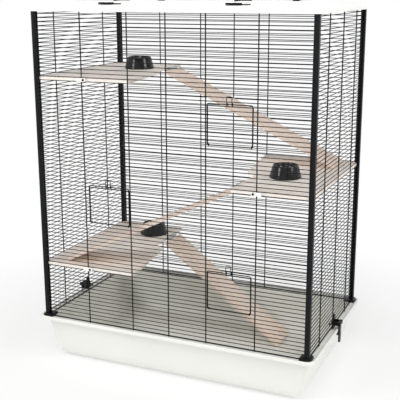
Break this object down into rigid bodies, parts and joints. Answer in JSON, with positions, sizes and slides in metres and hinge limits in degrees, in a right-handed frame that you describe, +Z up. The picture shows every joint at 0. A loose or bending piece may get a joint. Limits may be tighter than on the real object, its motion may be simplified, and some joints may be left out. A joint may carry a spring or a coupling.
{
  "type": "ferret cage",
  "caption": "Tall wire cage for small pets with a moulded tray and roof, wire walls with drop-down doors, wooden platforms joined by ramps, and feeding bowls.",
  "frame": {"origin": "middle of the flat underside of the tray", "axes": "+X to the right, +Y to the back, +Z up; the doors face -Y"},
  "size_m": [0.794, 0.48, 0.9788],
  "materials": {
    "tray_plastic": "white moulded plastic, satin to glossy",
    "roof_plastic": "white moulded plastic, satin",
    "black_plastic": "black moulded plastic with a soft sheen",
    "black_wire": "black powder-coated wire",
    "gloss_black": "polished black plastic",
    "zinc_steel": "bright zinc plating",
    "pale_wood": "pale sanded wood, unvarnished"
  },
  "bodies": {
    "frame": {"base_tray": "tray_plastic", "roof_frame": "roof_plastic", "front_left_post": "black_plastic", "front_right_post": "black_plastic", "back_right_post": "black_plastic", "back_left_post": "black_plastic", "front_wall": "black_wire", "back_wall": "black_wire", "left_wall": "black_wire", "right_wall": "black_wire", "front_upright_1": "black_wire", "front_upright_2": "black_wire", "front_upright_3": "black_wire", "front_upright_4": "black_wire", "front_upright_5": "black_wire", "upper_platform": "pale_wood", "upper_platform_front_clamp": "roof_plastic", "upper_platform_back_clamp": "roof_plastic", "upper_platform_front_screw": "black_wire", "right_platform": "pale_wood", "right_platform_front_clamp": "roof_plastic", "right_platform_back_clamp": "roof_plastic", "right_platform_front_screw": "black_wire", "lower_platform": "pale_wood", "lower_platform_front_clamp": "roof_plastic", "lower_platform_back_clamp": "roof_plastic", "lower_platform_front_screw": "black_wire", "upper_ramp_rod": "zinc_steel", "middle_ramp_rod": "zinc_steel", "lower_ramp_rod": "zinc_steel", "left_clip_saddle": "black_plastic", "left_roof_clip": "black_plastic", "left_lid_hinge": "black_plastic", "right_clip_saddle": "black_plastic", "right_roof_clip": "black_plastic", "right_lid_hinge": "black_plastic"},
    "upper_door": {"upper_door": "black_wire"},
    "middle_door": {"middle_door": "black_wire"},
    "lower_door": {"lower_door": "black_wire"},
    "upper_door_latch": {"upper_door_latch": "black_wire"},
    "middle_door_latch": {"middle_door_latch": "black_wire"},
    "lower_door_latch": {"lower_door_latch": "black_wire"},
    "lid": {"roof_lid": "black_wire", "left_lid_leaf": "black_plastic", "right_lid_leaf": "black_plastic"},
    "left_lid_latch": {"left_lid_latch": "black_plastic"},
    "left_clip_lever": {"left_clip_lever": "black_plastic"},
    "right_lid_latch": {"right_lid_latch": "black_plastic"},
    "right_clip_lever": {"right_clip_lever": "black_plastic"},
    "upper_ramp": {"upper_ramp": "pale_wood", "upper_ramp_hanger": "zinc_steel"},
    "middle_ramp": {"middle_ramp": "pale_wood", "middle_ramp_hanger": "zinc_steel"},
    "lower_ramp": {"lower_ramp": "pale_wood", "lower_ramp_hanger": "zinc_steel"},
    "upper_bowl": {"upper_bowl": "gloss_black"},
    "right_bowl": {"right_bowl": "gloss_black"},
    "lower_bowl": {"lower_bowl": "gloss_black"}
  },
  "joints": [
    {"name": "upper_door_hinge", "type": "hinge", "parent": "frame", "child": "upper_door", "pos_m": [0.1655, -0.22, 0.6379], "axis": [1, 0, 0], "range_deg": [0, 120]},
    {"name": "upper_door_latch_hinge", "type": "hinge", "parent": "upper_door", "child": "upper_door_latch", "pos_m": [0.1655, -0.22305, 0.7367], "axis": [1, 0, 0], "range_deg": [0, 85]},
    {"name": "middle_door_hinge", "type": "hinge", "parent": "frame", "child": "middle_door", "pos_m": [-0.1655, -0.22, 0.4091], "axis": [1, 0, 0], "range_deg": [0, 120]},
    {"name": "middle_door_latch_hinge", "type": "hinge", "parent": "middle_door", "child": "middle_door_latch", "pos_m": [-0.1655, -0.22305, 0.5079], "axis": [1, 0, 0], "range_deg": [0, 85]},
    {"name": "lower_door_hinge", "type": "hinge", "parent": "frame", "child": "lower_door", "pos_m": [0.1655, -0.22, 0.2219], "axis": [1, 0, 0], "range_deg": [0, 120]},
    {"name": "lower_door_latch_hinge", "type": "hinge", "parent": "lower_door", "child": "lower_door_latch", "pos_m": [0.1655, -0.22305, 0.3207], "axis": [1, 0, 0], "range_deg": [0, 85]},
    {"name": "lid_hinge", "type": "hinge", "parent": "frame", "child": "lid", "pos_m": [0, 0.176, 0.9752], "axis": [-1, 0, 0], "range_deg": [0, 100]},
    {"name": "left_lid_latch_turn", "type": "hinge", "parent": "lid", "child": "left_lid_latch", "pos_m": [-0.16, -0.1601, 0.9713], "axis": [0, 0, 1], "range_deg": [0, 90]},
    {"name": "left_clip_lever_hinge", "type": "hinge", "parent": "frame", "child": "left_clip_lever", "pos_m": [-0.392, 0, 0.144], "axis": [0, 1, 0], "range_deg": [0, 75]},
    {"name": "right_lid_latch_turn", "type": "hinge", "parent": "lid", "child": "right_lid_latch", "pos_m": [0.16, -0.1601, 0.9713], "axis": [0, 0, 1], "range_deg": [0, 90]},
    {"name": "right_clip_lever_hinge", "type": "hinge", "parent": "frame", "child": "right_clip_lever", "pos_m": [0.392, 0, 0.144], "axis": [0, -1, 0], "range_deg": [0, 75]},
    {"name": "upper_ramp_hinge", "type": "hinge", "parent": "frame", "child": "upper_ramp", "pos_m": [-0.1614, 0.15, 0.7783], "axis": [0, -1, 0], "range_deg": [0, 9]},
    {"name": "middle_ramp_hinge", "type": "hinge", "parent": "frame", "child": "middle_ramp", "pos_m": [0.1614, -0.15, 0.5287], "axis": [0, 1, 0], "range_deg": [0, 14]},
    {"name": "lower_ramp_hinge", "type": "hinge", "parent": "frame", "child": "lower_ramp", "pos_m": [-0.1614, 0.134, 0.2791], "axis": [0, -1, 0], "range_deg": [0, 28]},
    {"name": "upper_bowl_lift", "type": "slide", "parent": "frame", "child": "upper_bowl", "axis": [0, 0, 1], "range_m": [0, 0.06]},
    {"name": "right_bowl_lift", "type": "slide", "parent": "frame", "child": "right_bowl", "axis": [0, 0, 1], "range_m": [0, 0.06]},
    {"name": "lower_bowl_lift", "type": "slide", "parent": "frame", "child": "lower_bowl", "axis": [0, 0, 1], "range_m": [0, 0.06]}
  ]
}
